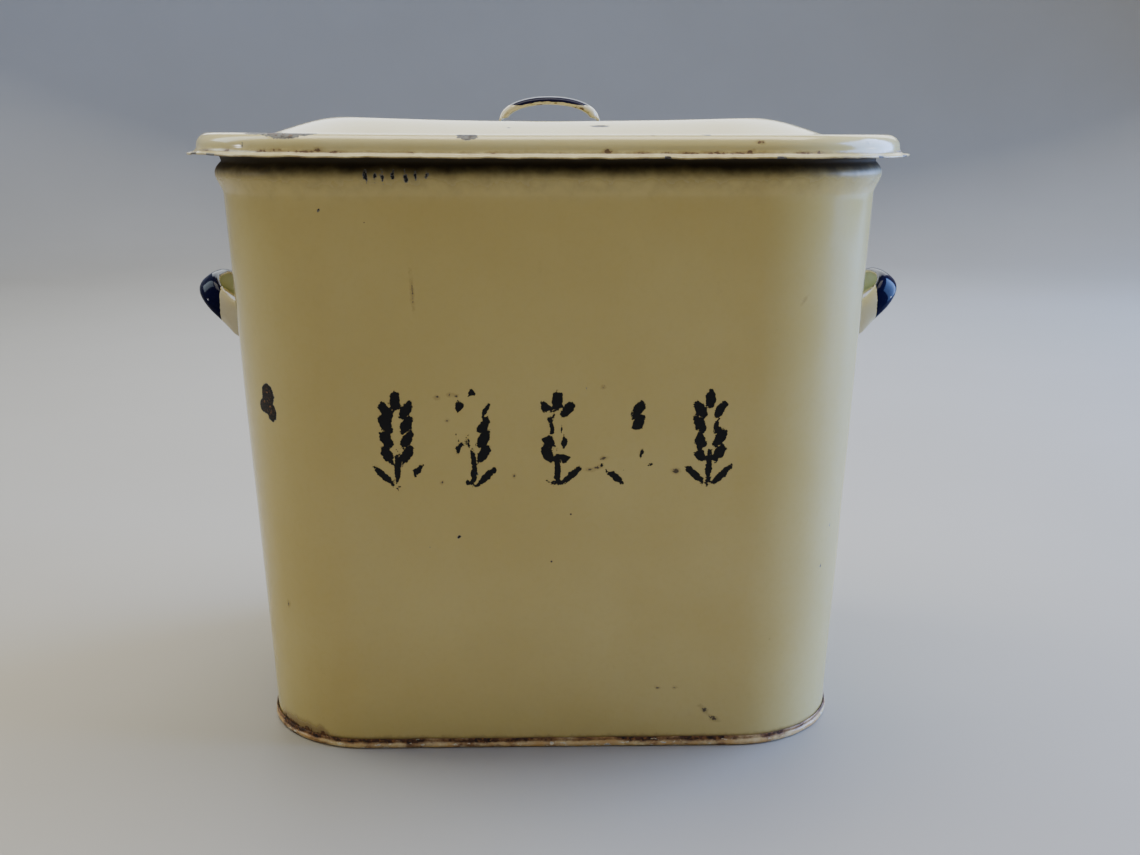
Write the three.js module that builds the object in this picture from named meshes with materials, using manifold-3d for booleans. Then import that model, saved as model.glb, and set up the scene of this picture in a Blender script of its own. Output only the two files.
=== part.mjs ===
// Lift-off-lid enamelled steel bread bin: tapered body, pressed lid, strap handles.
// Units are millimetres, +Z is up, the front faces -Y, and the origin is the
// centre of the footprint on the surface that the bin stands on.
import * as THREE from 'three';
import { mergeVertices } from 'three/addons/utils/BufferGeometryUtils.js';
import Module from 'manifold-3d';

const wasm = await Module();
wasm.setup();

// ---- driving dimensions ----------------------------------------------------
const GAP = 0.3;            // air left between two pieces that bear on each other
const SHEET = 1.0;          // body and lid sheet with its enamel
const CORNER_STEPS = 6;     // facets round one corner of the bin
const WALL_SIDE_STEPS = 2;  // facets along one straight side of the wall
const LID_SIDE_STEPS = 4;   // and of the lid, whose crest bends

const WALL = {
  footZ: 1.1, topZ: 285,
  footWidth: 306.4, topWidth: 329,
  footDepth: 221, topDepth: 244,
  footCorner: 57.3, topCorner: 66.4,
};
const BEAD = { fromZ: 283, toZ: 298.5, bulge: 3.4, crowding: 1.5, steps: 6 };
const NECK = { lowRise: 0.9, lowOut: 0.6, highDrop: 2.6, highTuck: 0.15 };
const WIRE = { radius: 1.5, out: 4.6, z: 306.7, sides: 8 };   // out: centre beyond the wall top
const CURL = { from: 180, to: -92, steps: 8 };                // degrees round the wire
const HEM = { sheet: 0.8, height: 5.2, chamfer: 0.4, recess: 5, floorLip: 0.6, floorMargin: 8 };

const LID = {
  skirtWidth: 351.6, skirtDepth: 266.8, corner: 77.6, cornerShrink: 0.7,
  stepZ: 311, skirtFootZ: 301.4, flangeOut: 4.7, edgeRound: 6.2, edgeSteps: 4,
  footInset: 33.6, crestInset: 69.2, crestZ: 317.6, crestLift: 1.8, seatZ: 315.4,
  slopeSteps: 5, slopePower: 1.7, stepMargin: 6,
};
const DISH = [[0.52, 0], [0.78, 0.2], [0.93, 0.7]];   // share of the crest's size, and of its rise
const FLANGE = { bendTop: 3.2, bendLow: 1.1, thinning: 0.4 };

const SIDE_HANDLE = {
  z: 210.3, rootTilt: 29, gripTilt: 56, halfSpan: 32, reach: 37, roundness: 2.7,
  footWidth: 16, gripWidth: 13, channel: 4.2, sheet: 1.6, toe: 15, heelRadius: 3,
};
const LID_HANDLE = {
  rootTilt: 0, gripTilt: 0, halfSpan: 26.6, reach: 14.4, roundness: 2.1,
  footWidth: 18, gripWidth: 18, channel: 3.6, sheet: 1.4, toe: 14, heelRadius: 2.5,
};
const TOE = { round: 4, tipShare: 0.5, steps: 3, rivetShare: 0.48 };
const HEEL_STEPS = 4;
const ARCH = { steps: 10, crowding: 1.6, widthBlend: 0.3, channelFull: 0.4 };
const SECTION = { steps: 6, power: 0.77 };            // superelliptic crown of the strap
const LEAN_LIMIT = 0.95;    // how near the face a leaning strap's edge may come

const RIVET = { shank: 1.6, head: 3.4, rim: 0.25, dome: 1.5, pitch: 9.5, sides: 10 };
const LID_RIVET = { ...RIVET, shank: 1.5, head: 3.2, dome: 0.7 };
const FORMED = { head: 0.85, rim: 0.68, depth: 0.9, crown: 1.2 };   // head made inside
const DRILL_LENGTH = 14;

const CREAM = { color: 0xd9cfae, roughness: 0.3, metalness: 0 };
const COBALT = { color: 0x0d1230, roughness: 0.2, metalness: 0 };
const RUSTY = { color: 0x3b2a20, roughness: 0.75, metalness: 0.3 };
const IRON = { color: 0x6a655e, roughness: 0.5, metalness: 0.9 };

// ---- shape helpers -----------------------------------------------------------
const mix = (from, to, t) => from + (to - from) * t;
const radians = (degrees) => THREE.MathUtils.degToRad(degrees);

// Points of a rounded rectangle, the same number for any size, counter-clockwise.
function roundedOutline(halfWidth, halfDepth, corner, sideSteps) {
  const r = Math.min(corner, halfWidth, halfDepth);
  const points = [];
  for (let quarter = 0; quarter < 4; quarter++) {
    const cx = (quarter === 0 || quarter === 3 ? 1 : -1) * (halfWidth - r);
    const cy = (quarter < 2 ? 1 : -1) * (halfDepth - r);
    const start = quarter * Math.PI / 2;
    for (let i = 0; i <= CORNER_STEPS; i++) {
      const angle = start + (i / CORNER_STEPS) * Math.PI / 2;
      points.push(new THREE.Vector2(cx + r * Math.cos(angle), cy + r * Math.sin(angle)));
    }
  }
  const outline = [];
  points.forEach((point, i) => {
    outline.push(point);
    const next = points[(i + 1) % points.length];
    if ((i + 1) % (CORNER_STEPS + 1) === 0) {
      for (let k = 1; k < sideSteps; k++) outline.push(point.clone().lerp(next, k / sideSteps));
    }
  });
  return outline;
}

// One closed body through a row of rings with equal numbers of points.
// A looped row joins its last ring to its first; otherwise both ends are capped.
function loft(rings, looped) {
  const count = rings[0].length;
  const positions = rings.flat().flatMap((p) => [p.x, p.y, p.z]);
  const index = [];
  const bands = looped ? rings.length : rings.length - 1;
  for (let j = 0; j < bands; j++) {
    const low = j * count;
    const high = ((j + 1) % rings.length) * count;
    for (let i = 0; i < count; i++) {
      const k = (i + 1) % count;
      index.push(low + i, low + k, high + k, low + i, high + k, high + i);
    }
  }
  if (!looped) {
    for (const [ring, first] of [[rings[0], 0], [rings.at(-1), (rings.length - 1) * count]]) {
      const middle = ring.reduce((sum, p) => sum.add(p), new THREE.Vector3()).divideScalar(count);
      const pole = positions.length / 3;
      positions.push(middle.x, middle.y, middle.z);
      for (let i = 0; i < count; i++) {
        const k = (i + 1) % count;
        if (first === 0) index.push(pole, first + k, first + i);
        else index.push(pole, first + i, first + k);
      }
    }
  }
  const geometry = new THREE.BufferGeometry();
  geometry.setAttribute('position', new THREE.Float32BufferAttribute(positions, 3));
  geometry.setIndex(index);
  return facingOut(geometry);
}

// Turns every face over if the closed body is inside out.
function facingOut(geometry) {
  const at = geometry.attributes.position;
  const index = geometry.index.array;
  const [a, b, c] = [new THREE.Vector3(), new THREE.Vector3(), new THREE.Vector3()];
  let volume = 0;
  for (let i = 0; i < index.length; i += 3) {
    a.fromBufferAttribute(at, index[i]);
    b.fromBufferAttribute(at, index[i + 1]);
    c.fromBufferAttribute(at, index[i + 2]);
    volume += a.dot(b.cross(c));
  }
  if (volume < 0) {
    for (let i = 0; i < index.length; i += 3) [index[i], index[i + 1]] = [index[i + 1], index[i]];
  }
  return geometry;
}

function toManifold(geometry, matrix = new THREE.Matrix4()) {
  const bare = geometry.clone().applyMatrix4(matrix);
  bare.deleteAttribute('normal');
  bare.deleteAttribute('uv');
  const merged = mergeVertices(bare, 1e-4);
  return new wasm.Manifold(new wasm.Mesh({
    numProp: 3,
    vertProperties: new Float32Array(merged.attributes.position.array),
    triVerts: new Uint32Array(merged.index.array),
  }));
}

// The body with a round hole cut along X of each of the given placements.
function drilled(geometry, radius, sides, placements) {
  let solid = toManifold(geometry);
  const drill = new THREE.CylinderGeometry(radius, radius, DRILL_LENGTH, sides).rotateZ(-Math.PI / 2);
  for (const placement of placements) solid = solid.subtract(toManifold(drill, placement));
  const mesh = solid.getMesh();
  const result = new THREE.BufferGeometry();
  result.setAttribute('position', new THREE.Float32BufferAttribute(mesh.vertProperties, 3));
  result.setIndex(Array.from(mesh.triVerts));
  return result;
}

function named(name, geometry, look) {
  const mesh = new THREE.Mesh(geometry, new THREE.MeshStandardMaterial(look));
  mesh.name = name;
  return mesh;
}

// ---- body of the bin ---------------------------------------------------------
// A ring round the wall at height z, moved outward by `out`.
function wallRing(z, out) {
  const t = z / WALL.topZ;
  const clamped = Math.min(t, 1);
  return roundedOutline(
    mix(WALL.footWidth, WALL.topWidth, clamped) / 2 + out,
    mix(WALL.footDepth, WALL.topDepth, clamped) / 2 + out,
    mix(WALL.footCorner, WALL.topCorner, clamped) + out,
    WALL_SIDE_STEPS,
  ).map((p) => new THREE.Vector3(p.x, p.y, z));
}

// Tapered wall, swelled bead, neck, and a rim curled outward round its wire.
function bodyWall() {
  const section = [0, 0.25, 0.5, 0.75, 1].map((t) => [mix(WALL.footZ, BEAD.fromZ, t), 0]);
  for (let i = 1; i < BEAD.steps; i++) {
    const t = i / BEAD.steps;
    const out = BEAD.bulge * Math.sin(Math.PI * t ** BEAD.crowding);
    section.push([mix(BEAD.fromZ, BEAD.toZ, t), out]);
  }
  const curl = WIRE.radius + GAP;
  const neck = WIRE.out - curl;
  section.push([BEAD.toZ + NECK.lowRise, NECK.lowOut]);
  section.push([WIRE.z - NECK.highDrop, neck - NECK.highTuck]);
  const skins = [section.map(([z, out]) => [z, out]), section.map(([z, out]) => [z, out - SHEET])];
  for (let i = 0; i <= CURL.steps; i++) {
    const angle = radians(mix(CURL.from, CURL.to, i / CURL.steps));
    for (const [side, radius] of [[0, curl], [1, curl + SHEET]]) {
      skins[side].push([WIRE.z + radius * Math.sin(angle), WIRE.out + radius * Math.cos(angle)]);
    }
  }
  const loop = [...skins[0], ...skins[1].reverse()];
  return loft(loop.map(([z, out]) => wallRing(z, out)), true);
}

// Recessed floor whose edge is folded down, under and up round the foot of the wall.
function basePan() {
  const inner = -SHEET - GAP;
  const outer = GAP + HEM.sheet;
  const floorTop = HEM.recess + HEM.sheet;
  const middle = inner - HEM.floorMargin;
  const fold = inner - HEM.sheet;
  const top = [
    [floorTop, middle], [floorTop, fold - HEM.floorLip], [floorTop + HEM.floorLip, inner],
    [HEM.sheet, inner], [HEM.sheet, GAP], [HEM.height, GAP], [HEM.height, outer],
  ];
  const under = [
    [HEM.chamfer, outer], [0, outer - HEM.chamfer],
    [0, fold + HEM.chamfer], [HEM.chamfer, fold],
    [HEM.recess - HEM.floorLip, fold], [HEM.recess, fold - HEM.floorLip], [HEM.recess, middle],
  ];
  return loft([...top, ...under].map(([z, out]) => wallRing(z, out)), false);
}

function rimWire() {
  const rings = [];
  for (let i = 0; i < WIRE.sides; i++) {
    const angle = (i / WIRE.sides) * 2 * Math.PI;
    const out = WIRE.out + WIRE.radius * Math.cos(angle);
    rings.push(wallRing(WIRE.z + WIRE.radius * Math.sin(angle), out));
  }
  return loft(rings, true);
}

// ---- lid -----------------------------------------------------------------------
// A ring of the lid, `inset` in from the skirt; `lift` raises it towards both ends.
function lidRing(inset, z, lift = 0) {
  const halfWidth = LID.skirtWidth / 2 - inset;
  const corner = LID.corner - inset * LID.cornerShrink;
  const outline = roundedOutline(halfWidth, LID.skirtDepth / 2 - inset, corner, LID_SIDE_STEPS);
  return outline.map((p) => new THREE.Vector3(p.x, p.y, z + lift * (p.x / halfWidth) ** 2));
}

// A ring of the dished panel, `scale` times the size of its crest.
function dishRing(scale, z, lift) {
  const crest = lidRing(LID.crestInset, z, lift);
  return crest.map((p) => new THREE.Vector3(p.x * scale, p.y * scale, p.z));
}

// One face of the lid, `drop` below the upper one, from the dish out to the flange.
function lidFace(drop) {
  const { stepZ, skirtFootZ, edgeRound, edgeSteps, footInset, crestInset, crestZ, crestLift } = LID;
  const rows = DISH.map(([scale, rise]) => (
    dishRing(scale, mix(LID.seatZ, crestZ, rise) - drop, crestLift * rise)
  ));
  rows.push(lidRing(crestInset, crestZ - drop, crestLift));
  for (let i = 1; i <= LID.slopeSteps; i++) {
    const t = i / LID.slopeSteps;
    const fall = t ** LID.slopePower;
    const z = mix(crestZ, stepZ, fall) - drop;
    rows.push(lidRing(mix(crestInset, footInset, t), z, crestLift * (1 - fall)));
  }
  rows.push(lidRing(edgeRound + LID.stepMargin, stepZ - drop));
  for (let i = 0; i <= edgeSteps; i++) {
    const angle = radians(mix(90, 0, i / edgeSteps));
    const radius = edgeRound - drop;
    const z = stepZ - edgeRound + radius * Math.sin(angle);
    rows.push(lidRing(edgeRound - radius * Math.cos(angle), z));
  }
  rows.push(lidRing(drop, skirtFootZ + FLANGE.bendTop));
  rows.push(lidRing(drop - FLANGE.bendLow, skirtFootZ + FLANGE.bendLow - FLANGE.thinning * drop));
  rows.push(lidRing(-LID.flangeOut, skirtFootZ - drop));
  return rows;
}

// Pressed lid: dished panel, slope, flat step, rounded edge, skirt and turned-out flange.
function lidShell() {
  return loft([...lidFace(0), ...lidFace(SHEET).reverse()], false);
}

// ---- strap handles ---------------------------------------------------------------
// Pressed strap in a frame whose X points off the face it is riveted to and whose
// Y runs from foot to foot: toe, heel bend, arch, heel bend, toe. The arch leaves the
// face at `rootTilt` and curls up to `gripTilt`; near the face each section leans only
// as far as clears the face.
function strapHandle(handle, faceX) {
  const { halfSpan, reach, roundness, heelRadius, toe, footWidth, gripWidth } = handle;
  const tiltAt = (u) => radians(mix(handle.rootTilt, handle.gripTilt, u / reach));
  const spreadAt = (u) => {
    const average = tiltAt(u / 2);
    return { x: u * Math.cos(average), z: u * Math.sin(average) };
  };
  const half = [];
  for (let i = 0; i <= TOE.steps; i++) {
    const angle = (i / TOE.steps) * Math.PI / 2;
    const back = toe - TOE.round * (1 - Math.cos(angle));
    const share = mix(TOE.tipShare, 1, Math.sin(angle));
    half.push({ u: 0, v: -halfSpan - heelRadius - back, width: footWidth * share });
  }
  for (let i = 0; i <= HEEL_STEPS; i++) {
    const angle = (i / HEEL_STEPS) * Math.PI / 2;
    half.push({
      u: heelRadius * (1 - Math.cos(angle)),
      v: -halfSpan - heelRadius * (1 - Math.sin(angle)),
      width: footWidth,
    });
  }
  for (let i = 1; i <= ARCH.steps; i++) {
    const t = i / ARCH.steps;
    const angle = t ** ARCH.crowding * Math.PI / 2;
    half.push({
      u: heelRadius + (reach - heelRadius) * Math.sin(angle) ** (2 / roundness),
      v: -halfSpan * Math.cos(angle) ** (2 / roundness),
      width: mix(footWidth, gripWidth, Math.min(1, t / ARCH.widthBlend)),
    });
  }
  const stations = [...half, ...half.slice(0, -1).reverse().map((s) => ({ ...s, v: -s.v }))];
  const centre = ({ u, v }) => new THREE.Vector3(faceX + spreadAt(u).x, v, spreadAt(u).z);
  const rings = stations.map((station, i) => {
    const before = centre(stations[Math.max(0, i - 1)]);
    const after = centre(stations[Math.min(stations.length - 1, i + 1)]);
    const tangent = after.sub(before).normalize();
    const clear = (LEAN_LIMIT * spreadAt(station.u).x) / (station.width / 2);
    const lean = Math.asin(Math.min(Math.sin(tiltAt(station.u)), clear));
    const wide = new THREE.Vector3(-Math.sin(lean), 0, Math.cos(lean));
    const outward = tangent.clone().cross(wide).normalize();
    const turnedIn = THREE.MathUtils.smoothstep(station.u, heelRadius, ARCH.channelFull * reach);
    return strapSection(station.width, turnedIn, handle)
      .map((p) => centre(station).addScaledVector(wide, p.x).addScaledVector(outward, p.y));
  });
  return loft(rings, false);
}

// Strap cross-section: flat at the feet, and where it is turned in, a superelliptic
// channel whose edges hang `channel` below its crown.
function strapSection(width, turnedIn, { channel, sheet }) {
  const outside = [];
  const inside = [];
  const edge = turnedIn * sheet;
  for (let i = 0; i <= SECTION.steps; i++) {
    const angle = (i / SECTION.steps) * Math.PI;
    const across = -Math.sign(Math.cos(angle)) * Math.abs(Math.cos(angle)) ** SECTION.power;
    const fall = turnedIn * (1 - Math.sin(angle) ** SECTION.power);
    outside.push(new THREE.Vector2((width / 2) * across, sheet / 2 - channel * fall));
    inside.push(new THREE.Vector2((width / 2 - edge) * across, -sheet / 2 - (channel - sheet) * fall));
  }
  return [...outside, ...inside.reverse()];
}

// Rivet along X through everything between its two heads, formed head inside.
function rivet(size, grip) {
  const profile = [new THREE.Vector2(0, grip.out + size.dome)];
  for (const angle of [Math.PI / 4, Math.PI / 2]) {
    const rise = size.rim + (size.dome - size.rim) * Math.cos(angle);
    profile.push(new THREE.Vector2(size.head * Math.sin(angle), grip.out + rise));
  }
  profile.push(
    new THREE.Vector2(size.head, grip.out),
    new THREE.Vector2(size.shank, grip.out),
    new THREE.Vector2(size.shank, grip.in),
    new THREE.Vector2(size.head * FORMED.head, grip.in),
    new THREE.Vector2(size.head * FORMED.rim, grip.in - FORMED.depth),
    new THREE.Vector2(0, grip.in - FORMED.crown),
  );
  return facingOut(mergeVertices(bareLathe(profile, size.sides)).rotateZ(-Math.PI / 2));
}

function bareLathe(profile, sides) {
  const geometry = new THREE.LatheGeometry(profile, sides);
  geometry.deleteAttribute('normal');
  geometry.deleteAttribute('uv');
  return geometry;
}

// The four rivet places of one handle, two in each toe, in the handle's own frame.
function rivetPlaces(handle, pitch) {
  const places = [];
  for (const end of [-1, 1]) {
    for (const side of [-1, 1]) {
      const y = end * (handle.halfSpan + handle.heelRadius + handle.toe * TOE.rivetShare);
      places.push(new THREE.Matrix4().makeTranslation(0, y, side * pitch / 2));
    }
  }
  return places;
}

// Adds one strap handle with its rivets to `mount`, and returns its holes in the
// frame of the whole bin. `corners` names the rivets in the order of their places.
function addHandle(mount, name, corners, handle, size) {
  mount.updateMatrixWorld(true);
  const seat = GAP + handle.sheet / 2;
  const places = rivetPlaces(handle, size.pitch);
  const strap = drilled(strapHandle(handle, seat), size.shank + GAP, size.sides, places);
  mount.add(named(name, strap, COBALT));
  const grip = { out: 2 * GAP + handle.sheet, in: -SHEET - GAP };
  places.forEach((place, i) => {
    const piece = named(`${name}_rivet_${corners[i]}`, rivet(size, grip), CREAM);
    piece.position.setFromMatrixPosition(place);
    mount.add(piece);
  });
  return places.map((place) => place.clone().premultiply(mount.matrixWorld));
}

// ---- assembly ---------------------------------------------------------------------
const bin = new THREE.Group();
bin.name = 'bread_bin';

const sideHoles = [];
const wallLean = Math.atan2((WALL.topWidth - WALL.footWidth) / 2, WALL.topZ);
for (const [side, turn, ends] of [['right', 0, ['front', 'rear']], ['left', Math.PI, ['rear', 'front']]]) {
  const mount = new THREE.Group();
  const halfWidth = mix(WALL.footWidth, WALL.topWidth, SIDE_HANDLE.z / WALL.topZ) / 2;
  mount.position.set(halfWidth * Math.cos(turn), 0, SIDE_HANDLE.z);
  mount.rotation.set(0, wallLean, turn, 'ZYX');
  bin.add(mount);
  const corners = ends.flatMap((end) => [`${end}_lower`, `${end}_upper`]);
  sideHoles.push(...addHandle(mount, `side_handle_${side}`, corners, SIDE_HANDLE, RIVET));
}
bin.add(named('body_wall', drilled(bodyWall(), RIVET.shank + GAP, RIVET.sides, sideHoles), CREAM));
bin.add(named('base_pan', basePan(), RUSTY));
bin.add(named('rim_wire', rimWire(), IRON));

const lidMount = new THREE.Group();
lidMount.position.set(0, 0, LID.seatZ);
lidMount.rotation.setFromRotationMatrix(new THREE.Matrix4().makeBasis(
  new THREE.Vector3(0, 0, 1), new THREE.Vector3(1, 0, 0), new THREE.Vector3(0, 1, 0),
));
bin.add(lidMount);
const lidCorners = ['left_front', 'left_rear', 'right_front', 'right_rear'];
const lidHoles = addHandle(lidMount, 'lid_handle', lidCorners, LID_HANDLE, LID_RIVET);
const lidBody = drilled(lidShell(), LID_RIVET.shank + GAP, LID_RIVET.sides, lidHoles);
bin.add(named('lid_shell', lidBody, CREAM));

export default bin;
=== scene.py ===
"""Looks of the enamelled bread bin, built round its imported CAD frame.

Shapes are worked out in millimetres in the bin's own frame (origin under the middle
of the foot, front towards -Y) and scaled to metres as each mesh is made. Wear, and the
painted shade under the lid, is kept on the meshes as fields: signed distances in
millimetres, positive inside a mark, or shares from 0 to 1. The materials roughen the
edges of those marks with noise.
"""
import math

import bpy
import numpy as np
from mathutils import Matrix, Vector, noise


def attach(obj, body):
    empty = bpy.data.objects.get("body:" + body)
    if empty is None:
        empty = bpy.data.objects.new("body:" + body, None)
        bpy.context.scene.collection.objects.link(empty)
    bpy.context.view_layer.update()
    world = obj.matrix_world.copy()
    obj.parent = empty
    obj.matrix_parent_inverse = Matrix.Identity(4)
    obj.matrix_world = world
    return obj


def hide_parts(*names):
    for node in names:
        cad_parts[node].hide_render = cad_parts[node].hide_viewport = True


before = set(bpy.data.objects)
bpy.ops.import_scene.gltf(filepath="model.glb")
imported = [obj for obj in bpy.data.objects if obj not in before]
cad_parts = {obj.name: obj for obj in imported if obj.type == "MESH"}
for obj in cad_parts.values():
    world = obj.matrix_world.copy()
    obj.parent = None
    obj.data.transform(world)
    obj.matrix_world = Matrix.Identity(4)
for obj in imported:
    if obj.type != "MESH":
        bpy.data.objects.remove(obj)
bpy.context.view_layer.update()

MM = 0.001
GAP = 0.3                       # air left between pieces, as in the CAD
SHEET = 1.0                     # wall and lid thickness with enamel
FAR = -9.0                      # signed distance of a point that no mark is near

# ---- driving dimensions, millimetres, the same as the CAD's ------------------------------
WALL_TOP = 285.0
FOOT = (153.2, 110.5, 57.3)     # half width, half depth, corner radius at the foot
TOP = (164.5, 122.0, 66.4)      # and at the top of the plain wall
BEAD_LOW, BEAD_HIGH, BEAD_BULGE = 283.0, 298.5, 3.4
WIRE_R, WIRE_OUT, WIRE_Z = 1.5, 4.6, 306.7
HEM_SHEET, HEM_HEIGHT, FLOOR_UNDER = 0.8, 5.2, 5.0

SKIRT = (175.8, 133.4, 77.6)    # half width, half depth, corner radius of the lid
CORNER_SHRINK = 0.7
STEP_Z, SKIRT_FOOT, FLANGE_OUT, EDGE_ROUND = 311.0, 301.4, 4.7, 6.2
FOOT_INSET, CREST_INSET = 33.6, 69.2
CREST_Z, CREST_LIFT, SEAT_Z = 317.6, 1.8, 315.4
LID_WARP = 1.2                  # the old lid is bent up a little at its left end
SKIRT_FOOT_WAY = 3.3            # over the sheet, from the rim of the flange to the skirt
CREASE_WAY = 1.5                # from there up to the middle of the rusty crease

# A strap's navy coat starts `navy` off the face and stops `bare` short of the edges.
SIDE_HANDLE = dict(z=210.3, root=29, grip=56, span=32, reach=37, roundness=2.7, foot=16,
                   width=13, channel=4.2, sheet=1.6, toe=15, heel=3, navy=17.0, bare=0.3)
LID_HANDLE = dict(root=0, grip=0, span=26.6, reach=14.4, roundness=2.1, foot=18,
                  width=18, channel=3.6, sheet=1.4, toe=14, heel=2.5, navy=11.2, bare=0.55)
TOE_ROUND = 4                   # how far the end of a toe is rounded back
CROWN_POWER = 0.77              # of the strap's superelliptic section
RIVET = dict(shank=1.6, head=3.4, dome=1.5, pitch=9.5)
LID_RIVET = dict(shank=1.5, head=3.2, dome=0.7, pitch=9.5)
RIVET_PLACE = 0.48              # along the toe, as a share of its length

# ---- shapes that only the fine meshes have, millimetres ----------------------------------
# Points along an outline: half the straight of the back, drawn together at its seam, a
# rear corner, a side, a front corner and the front, which is finest for its marks.
BACK_POINTS, REAR_POINTS, SIDE_POINTS, CORNER_POINTS, FRONT_POINTS = 26, 24, 30, 48, 160
CROWDING = 0.7
# Rows up the plain wall: where each band starts, and its rows, finest over the stencils.
WALL_BANDS = [(HEM_SHEET + GAP, 11), (20, 45), (138, 53), (194, 33)]
BEAD_ROWS, NECK_ROWS, CURL_ROWS = 17, 4, 18
WIRE_SIDES, RIVET_SIDES = 12, 28
NECK_DROP = 1.6                 # from the middle of the wire down to the top of the neck
WAVE_DEPTH, WAVE_LENGTH = 0.45, 105     # of the hand-formed sheet
LAP_RISE, LAP_FROM, LAP_FULL = 0.5, 6.0, 4.8    # lapped seam: its height, and its edge
# The floor and its pressed ring, from the middle outward: rise, and way out of the wall.
FLOOR_RING = [(0, -90), (0, -60), (0, -34), (-0.6, -30), (-0.6, -27), (0, -23)]
MIDDLE_SHRINK = 0.25            # of the innermost row of the floor
DISH_WIDTH = 62                 # over the dish of the lid, from its crest inward
# The bend from the skirt to its flange, and the flange's rim: the way in, and the rise.
FLANGE_BEND = [(-0.02, 3.0), (-0.16, 2.3), (-0.6, 1.5), (-1.4, 0.75), (-2.4, 0.4)]
FLANGE_RIM = [(1.3, 0.22), (0.35, 0.06), (0, -0.4), (0.35, -0.9), (1.3, -0.75)]


# ---- small maths -------------------------------------------------------------------------
def mix(a, b, t):
    return a + (b - a) * t


def smooth(low, high, value):
    t = np.clip((value - low) / (high - low), 0, 1)
    return t * t * (3 - 2 * t)


def rough_noise(a, b, scale, seed, octaves=3):
    """Fractal noise, about -1 to 1, at points (a, b) with features `scale` apart."""
    flat = np.stack([np.ravel(a), np.ravel(b)], 1) / scale
    values = [noise.fractal((p[0], p[1], seed), 1.0, 2.0, octaves) for p in flat]
    return np.array(values).reshape(np.shape(a))


# ---- outlines ----------------------------------------------------------------------------
def outline(half_width, half_depth, corner):
    """Rounded rectangle from the back centre, over the left, the front and the right,
    to the back centre again: x, y and the signed length s from the front centre."""
    flat_x, flat_y = half_width - corner, half_depth - corner
    xs, ys = [], []

    def straight(x0, y0, x1, y1, count, crowd=0):
        """Points drawn together at the start where `crowd` is above 0, else at the end."""
        t = np.arange(count) / count
        if crowd > 0:
            t = mix(t, t ** 3, crowd)
        elif crowd < 0:
            t = 1 - mix(1 - t, (1 - t) ** 3, -crowd)
        xs.append(mix(x0, x1, t))
        ys.append(mix(y0, y1, t))

    def bend(cx, cy, start, count):
        angle = np.radians(start + 90 * np.arange(count) / count)
        xs.append(cx + corner * np.cos(angle))
        ys.append(cy + corner * np.sin(angle))

    straight(0, half_depth, -flat_x, half_depth, BACK_POINTS, CROWDING)
    bend(-flat_x, flat_y, 90, REAR_POINTS)
    straight(-half_width, flat_y, -half_width, -flat_y, SIDE_POINTS)
    bend(-flat_x, -flat_y, 180, CORNER_POINTS)
    straight(-flat_x, -half_depth, flat_x, -half_depth, FRONT_POINTS)
    bend(flat_x, -flat_y, 270, CORNER_POINTS)
    straight(half_width, -flat_y, half_width, flat_y, SIDE_POINTS)
    bend(flat_x, flat_y, 0, REAR_POINTS)
    straight(flat_x, half_depth, 0, half_depth, BACK_POINTS, -CROWDING)
    x, y = np.concatenate(xs), np.concatenate(ys)
    step = np.hypot(np.diff(x, append=x[0]), np.diff(y, append=y[0]))
    s = np.concatenate([[0], np.cumsum(step)[:-1]])
    return x, y, s - step.sum() / 2


def pushed(x, y, distance):
    """The outline moved outward along its own normals."""
    tx, ty = np.roll(x, -1) - np.roll(x, 1), np.roll(y, -1) - np.roll(y, 1)
    size = np.hypot(tx, ty)
    return x + ty / size * distance, y - tx / size * distance


def wall_ring(z, out):
    """Outline of the wall at height z, moved outward by `out`."""
    t = min(z / WALL_TOP, 1)
    return outline(*(mix(a, b, t) + out for a, b in zip(FOOT, TOP)))


def lid_ring(inset):
    """Outline of the lid, `inset` in from the face of its skirt."""
    half_width, half_depth, corner = SKIRT
    return outline(half_width - inset, half_depth - inset, corner - inset * CORNER_SHRINK)


# ---- meshes ------------------------------------------------------------------------------
def skin_mesh(name, rows, looped=False, capped=False, fields=None):
    """One smooth mesh through rows of points (rows x points x 3, in millimetres).
    Each row closes on itself; `looped` joins the last row to the first, and `capped`
    closes both ends with a fan. `fields` are values for each point, kept by name."""
    rows = np.asarray(rows, float)
    count, width = rows.shape[:2]
    points = [rows.reshape(-1, 3)]
    at = np.arange(count * width).reshape(count, width)
    bands = np.vstack([at, at[:1]]) if looped else at
    low, high = bands[:-1], bands[1:]
    quads = np.stack([low, np.roll(low, -1, 1), np.roll(high, -1, 1), high], -1).reshape(-1, 4)
    faces = quads.tolist()
    if capped:
        for row, flip in ((at[0], True), (at[-1], False)):
            pole = count * width + len(points) - 1
            points.append(rows.reshape(-1, 3)[row].mean(0)[None])
            for a, b in zip(row, np.roll(row, -1)):
                faces.append([b, a, pole] if flip else [a, b, pole])
    mesh = bpy.data.meshes.new(name)
    mesh.from_pydata((np.vstack(points) * MM).tolist(), [], faces)
    for field, values in (fields or {}).items():
        full = np.zeros(len(mesh.vertices), np.float32)
        full[:count * width] = np.asarray(values, np.float32).reshape(-1)
        attribute = mesh.attributes.new(field, "FLOAT", "POINT")
        attribute.data.foreach_set("value", full)
    face_outward(mesh)
    mesh.shade_smooth()
    piece = bpy.data.objects.new(name, mesh)
    bpy.context.scene.collection.objects.link(piece)
    return piece


def face_outward(mesh):
    """Turns every face over if the closed mesh is inside out."""
    volume = 0.0
    points = [v.co for v in mesh.vertices]
    for face in mesh.polygons:
        corner = [points[i] for i in face.vertices]
        for a, b in zip(corner[1:], corner[2:]):
            volume += corner[0].dot(a.cross(b))
    if volume < 0:
        mesh.flip_normals()


def finish_piece(piece, material, body, node):
    """Gives a piece its material, its body and the CAD node it stands for."""
    piece.data.materials.append(material)
    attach(piece, body)
    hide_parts(node)


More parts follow.
